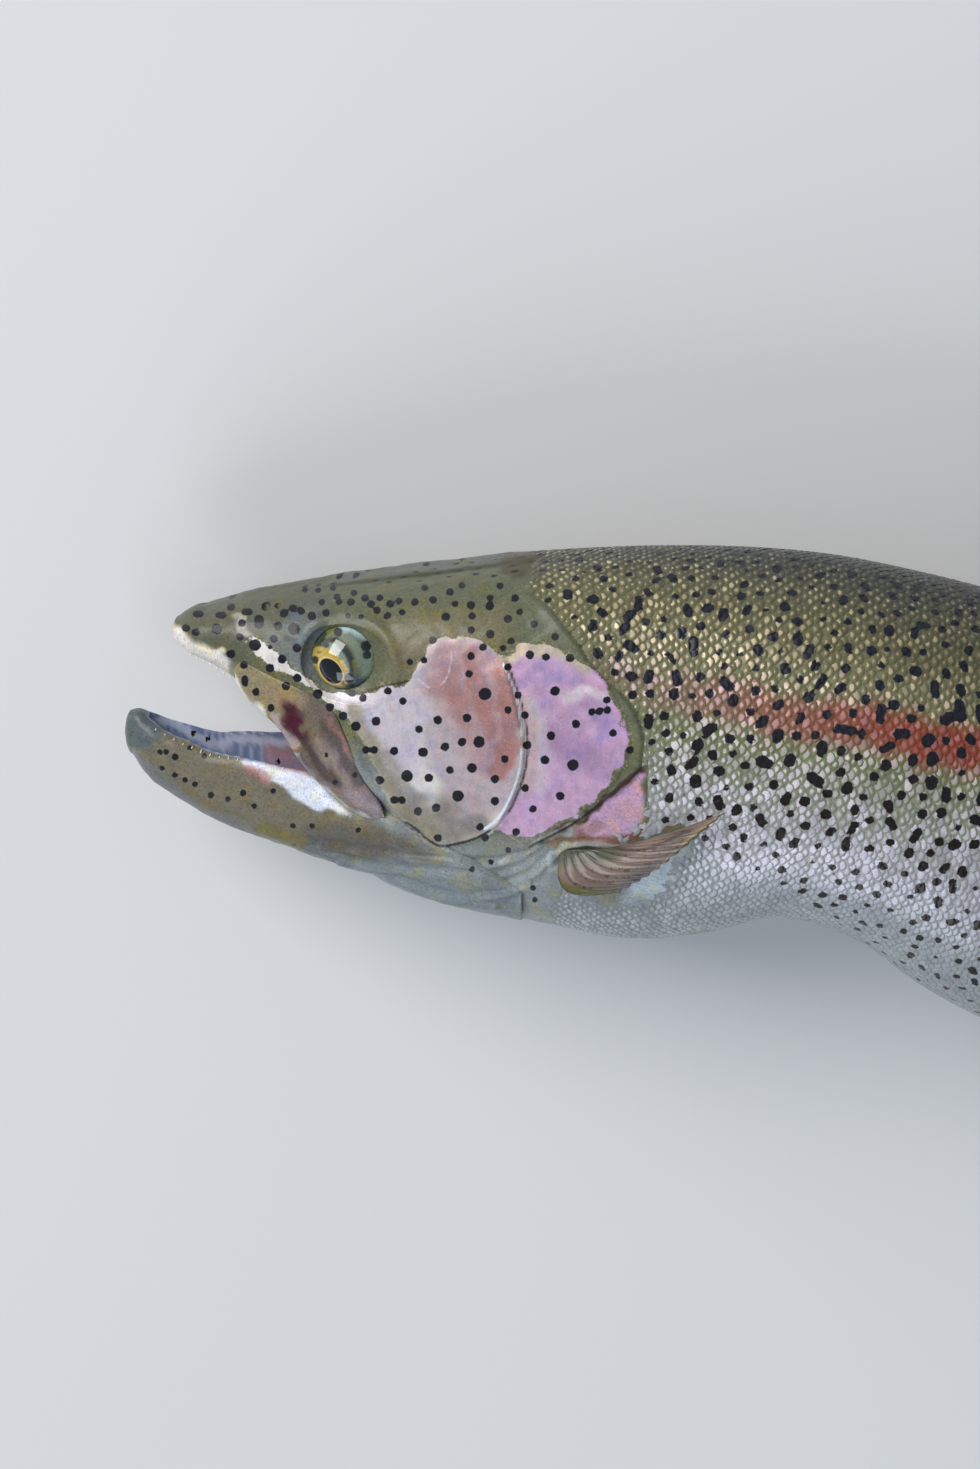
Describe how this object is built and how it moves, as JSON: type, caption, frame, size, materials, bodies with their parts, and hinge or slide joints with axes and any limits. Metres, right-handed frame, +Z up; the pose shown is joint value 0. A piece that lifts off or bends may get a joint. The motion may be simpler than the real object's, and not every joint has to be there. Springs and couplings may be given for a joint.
{
  "type": "rainbow trout",
  "caption": "Life-size still model of a trout lying on its right side, mouth open, body gently curved, fins spread, in named body parts.",
  "frame": {"origin": "on the floor, under the middle of the fish's bounding box", "axes": "+Z up, with the fish lying on its right side; the head points towards -X, the back towards +Y and the left flank up"},
  "size_m": [0.536, 0.2064, 0.0843],
  "materials": {
    "head_skin": "wet satin skin",
    "jaw_skin": "wet satin skin",
    "mouth_lining": "wet",
    "cheek_skin": "wet pearly skin",
    "eye": "clear gloss",
    "flank_skin": "wet pearly scales",
    "fin_skin": "thin wet membrane"
  },
  "bodies": {
    "root": {"head": "head_skin", "lower_jaw": "jaw_skin", "throat": "jaw_skin", "tongue": "mouth_lining", "maxilla_left": "head_skin", "maxilla_right": "head_skin", "cheek_left": "cheek_skin", "cheek_right": "cheek_skin", "gill_cover_left": "cheek_skin", "gill_cover_right": "cheek_skin", "eye_left": "eye", "eye_right": "eye", "shoulder": "flank_skin", "trunk": "flank_skin", "loin": "flank_skin", "tail_stalk": "flank_skin", "dorsal_fin": "fin_skin", "adipose_fin": "fin_skin", "anal_fin": "fin_skin", "tail_fin": "fin_skin", "pectoral_fin_left": "fin_skin", "pectoral_fin_right": "fin_skin", "pelvic_fin_left": "fin_skin", "pelvic_fin_right": "fin_skin"}
  },
  "joints": []
}
